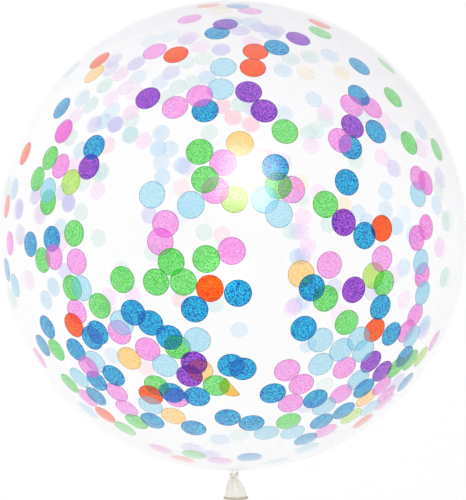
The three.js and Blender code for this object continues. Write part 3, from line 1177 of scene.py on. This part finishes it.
# %% Tail
TAIL_LENGTH = 36.5 * MM
TAIL_TOP_WIDTH = 13 * MM
TAIL_TOP_DEPTH = 9 * MM
TAIL_DOME = 5 * MM
DOME_ROUNDNESS = 0.86
MOUTH_WIDTH = 42.6 * MM
MOUTH_DEPTH = 17 * MM
MOUTH_SWAY = 5.4 * MM
TOP_SWAY = -2 * MM
TAIL_WALL = 1 * MM
LIP_DIAMETER = 4.4 * MM
LIP_STAND_OUT = 1.2 * MM
LIP_ROLL_START = -0.3
LIP_ROLL_END = 0.6
PLEATS = 7
PLEAT_TURN = 0.09
PLEAT_RELIEF = 2.4 * MM
PLEAT_FADE = 1.5
PLEAT_SHADE = 0.5
TAIL_ROWS = 64
TAIL_COLUMNS = 192
LIP_ROWS = 20
LIP_SHADE = 0.9
ROW_CROWDING = 1.5

LIP_RADIUS = LIP_DIAMETER / 2
MOUTH = KNOT_END + TAIL_LENGTH - LIP_RADIUS
TAIL_TOP = KNOT_END - TAIL_DOME


def sleeve(turn, along, inset):
    """Points of the sleeve at a turn round it, a distance along it, moved in by inset.

    The half width and half depth grow as (1 - (1 - share)^2)^roundness from
    the top to the mouth. The pleats move the wall in by
    relief / 2 (1 - cos(2 pi pleats turn)) (1 - share)^fade.
    """
    share = np.clip((along - TAIL_TOP) / (MOUTH - TAIL_TOP), 0, 1)
    spread = (1 - (1 - share) ** 2) ** DOME_ROUNDNESS
    half_width = (TAIL_TOP_WIDTH + (MOUTH_WIDTH - TAIL_TOP_WIDTH) * spread) / 2
    half_depth = (TAIL_TOP_DEPTH + (MOUTH_DEPTH - TAIL_TOP_DEPTH) * spread) / 2
    ridge = np.cos(2 * math.pi * PLEATS * (turn - PLEAT_TURN)) - 1
    pleat = PLEAT_RELIEF / 2 * ridge * (1 - share) ** PLEAT_FADE
    sway = TOP_SWAY + MOUTH_SWAY * spread
    angle = 2 * math.pi * turn
    x = sway + (half_width + pleat - inset) * np.cos(angle)
    z = (half_depth + pleat - inset) * np.sin(angle)
    # Painted shade: the pleat valleys are darkened, less towards the mouth.
    crease_shade = -ridge / 2 * (1 - share) ** PLEAT_FADE * PLEAT_SHADE
    return neck_point(x, along, z), crease_shade


def tail_arrays():
    """Points, quads, triangles and crease depth of the tail."""
    steps = (np.arange(TAIL_ROWS) / (TAIL_ROWS - 1)) ** ROW_CROWDING
    outside = TAIL_TOP + (MOUTH - LIP_RADIUS - TAIL_TOP) * steps
    roll = 2 * math.pi * np.linspace(LIP_ROLL_START, LIP_ROLL_END, LIP_ROWS)
    floor = KNOT_END + GATHER_LENGTH
    inside = np.linspace(MOUTH - LIP_RADIUS, floor, TAIL_ROWS)
    along = np.concatenate((outside, MOUTH + LIP_RADIUS * np.sin(roll), inside))
    bead = -LIP_STAND_OUT - LIP_RADIUS * np.cos(roll)
    inset = np.concatenate((np.zeros(TAIL_ROWS), bead, np.full(TAIL_ROWS, TAIL_WALL)))
    turn = np.arange(TAIL_COLUMNS)[None] / TAIL_COLUMNS
    points, crease_shade = sleeve(turn, along[:, None], inset[:, None])
    rows = len(along)
    # Painted shade: the rolled bead is darkened towards the crease tone.
    lip = np.zeros(rows)
    lip[TAIL_ROWS : TAIL_ROWS + LIP_ROWS] = LIP_SHADE
    crease_shade = np.maximum(np.broadcast_to(crease_shade, points.shape[:2]), lip[:, None])
    poles = np.stack((neck_point(TOP_SWAY, TAIL_TOP, 0), neck_point(TOP_SWAY, floor, 0)))
    quads = grid_quads(rows, TAIL_COLUMNS)[:, ::-1]
    fans = end_fans(rows, TAIL_COLUMNS, False)
    # Painted shade: the top pole half, and the pole deep inside the mouth fully.
    crease_shades = np.concatenate((crease_shade.ravel(), (PLEAT_SHADE, 1.0)))
    return np.vstack((points.reshape(-1, 3), poles)), quads, fans, crease_shades


tail_points, tail_quads, tail_fans, tail_crease_shade = tail_arrays()
tail = make_piece("neck_tail", tail_points, tail_quads, tail_fans, [latex])
add_attribute(tail, "crease_shade", tail_crease_shade)
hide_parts("balloon")

# %% [markdown]
# The floor and the light.
#
# The balloon was photographed on white. The floor is a plain pale sheet, and
# the world gives an even white light from all round. A large soft light
# overhead gives a little form. One more softbox only shows in reflections:
# it is the broad pale sheen on the upper middle of the ball. A line of sight
# meets dozens of clear faces, and each of them has to let it through.

# %% Floor
FLOOR_SIZE = 40.0
FLOOR_WHITE = (0.93, 0.93, 0.93, 1)


def floor_material():
    """Plain matt white."""
    material, tree, output = new_tree("floor")
    matt = add_node(
        tree, "BsdfPrincipled", Base_Color=FLOOR_WHITE, Roughness=0.9, Specular_IOR_Level=0.0
    )
    tree.links.new(matt.outputs[0], output.inputs["Surface"])
    return material


corner = FLOOR_SIZE / 2
floor_mesh = bpy.data.meshes.new("floor")
floor_mesh.from_pydata(
    [(-corner, -corner, 0), (corner, -corner, 0), (corner, corner, 0), (-corner, corner, 0)],
    [],
    [(0, 1, 2, 3)],
)
floor_mesh.materials.append(floor_material())
floor_sheet = bpy.data.objects.new("floor", floor_mesh)
scene.collection.objects.link(floor_sheet)

# %% Lights
WORLD_STRENGTH = 0.92
OVERHEAD_WATTS = 26.0
OVERHEAD_PLACE = (-0.6, 0.4, 3.4)
OVERHEAD_SIZE = (2.4, 2.4)
SHEEN_WATTS = 108.0
SHEEN_PLACE = (0.27, 1.03, 2.85)
SHEEN_SIZE = (1.0, 1.06)
CLEAR_FACES = 64


def soft_light(name, place, size, watts):
    """A rectangular soft light that faces the ball's middle."""
    data = bpy.data.lights.new(name, "AREA")
    data.shape = "RECTANGLE"
    data.size, data.size_y = size
    data.energy = watts
    light = bpy.data.objects.new(name, data)
    light.location = place
    way = Vector(BALL_MIDDLE) - Vector(place)
    light.rotation_euler = way.to_track_quat("-Z", "Y").to_euler()
    scene.collection.objects.link(light)
    return light


world = bpy.data.worlds.new("studio")
scene.world = world
world.use_nodes = True
backdrop = world.node_tree.nodes["Background"]
backdrop.inputs["Color"].default_value = (1, 1, 1, 1)
backdrop.inputs["Strength"].default_value = WORLD_STRENGTH

overhead = soft_light("overhead", OVERHEAD_PLACE, OVERHEAD_SIZE, OVERHEAD_WATTS)
overhead.visible_glossy = False
sheen = soft_light("sheen", SHEEN_PLACE, SHEEN_SIZE, SHEEN_WATTS)
sheen.visible_diffuse = False
sheen.visible_transmission = False
scene.view_settings.view_transform = "Standard"
scene.cycles.transparent_max_bounces = CLEAR_FACES
